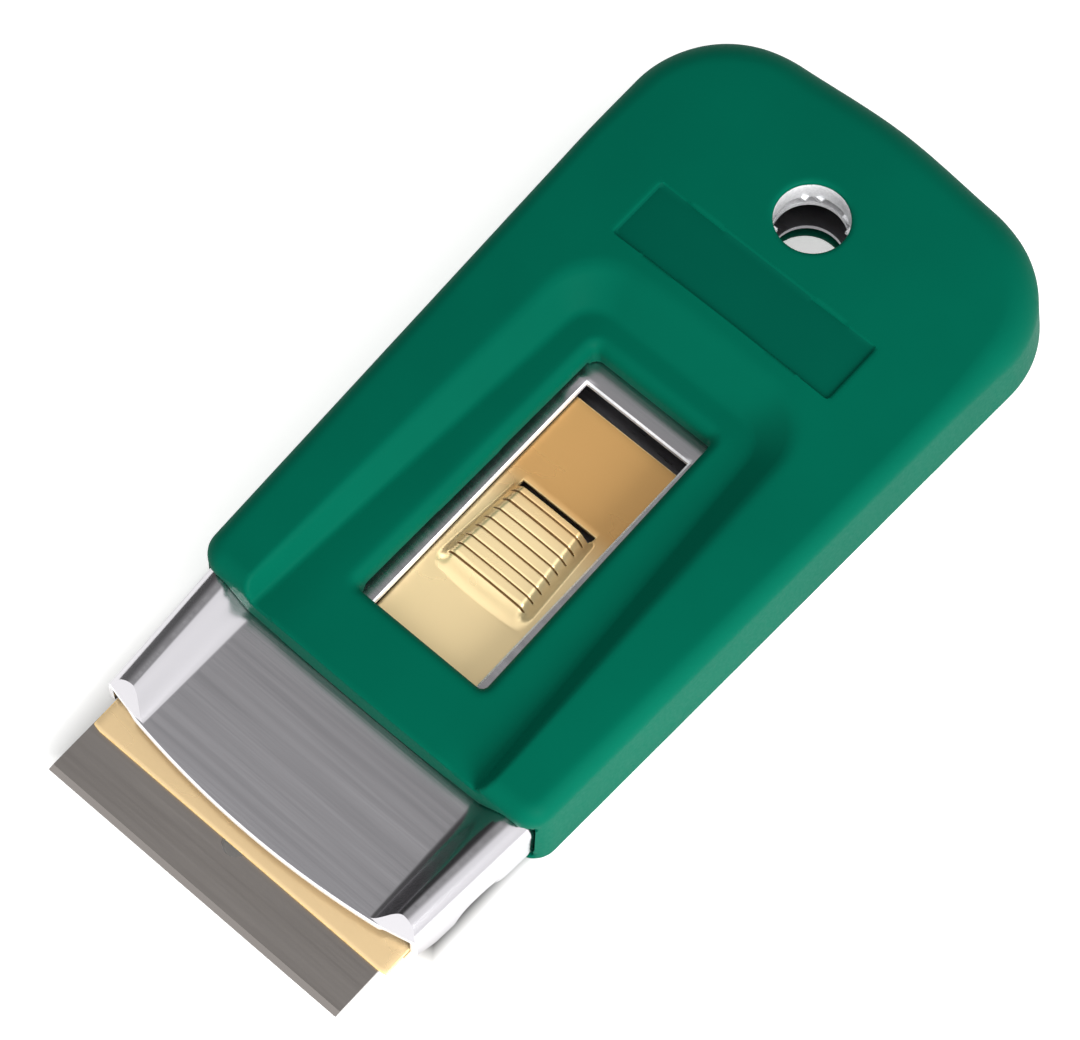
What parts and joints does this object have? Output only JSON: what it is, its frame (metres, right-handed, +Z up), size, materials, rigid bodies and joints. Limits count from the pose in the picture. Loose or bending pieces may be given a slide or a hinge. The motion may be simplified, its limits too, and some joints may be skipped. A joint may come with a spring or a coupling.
{
  "type": "hob scraper",
  "caption": "Pocket hob and glass scraper: single-edge blade in a sliding sheet carrier, stamped steel case, moulded grip with thumb window and hanging hole.",
  "frame": {"origin": "middle of the box's bottom, in the plane that the grip's flat back rests on", "axes": "+Z up out of the face with the thumb window, +Y from the blade towards the hanging hole, +X to the right when looking along +Y"},
  "size_m": [0.0522, 0.1125, 0.0127],
  "materials": {
    "green_grip": "satin moulded",
    "case_steel": "brushed across",
    "back_steel": "mill",
    "spring_brass": "satin",
    "blade_steel": "ground, dark",
    "spine_steel": "mill"
  },
  "bodies": {
    "root": {"grip_sleeve": "green_grip", "case_front": "case_steel", "case_back": "back_steel"},
    "carrier": {"blade_carrier": "spring_brass", "blade": "blade_steel", "blade_spine": "spine_steel"}
  },
  "joints": [
    {"name": "carrier_slide", "type": "slide", "parent": "root", "child": "carrier", "axis": [0, 1, 0], "range_m": [0, 0.0125]}
  ]
}
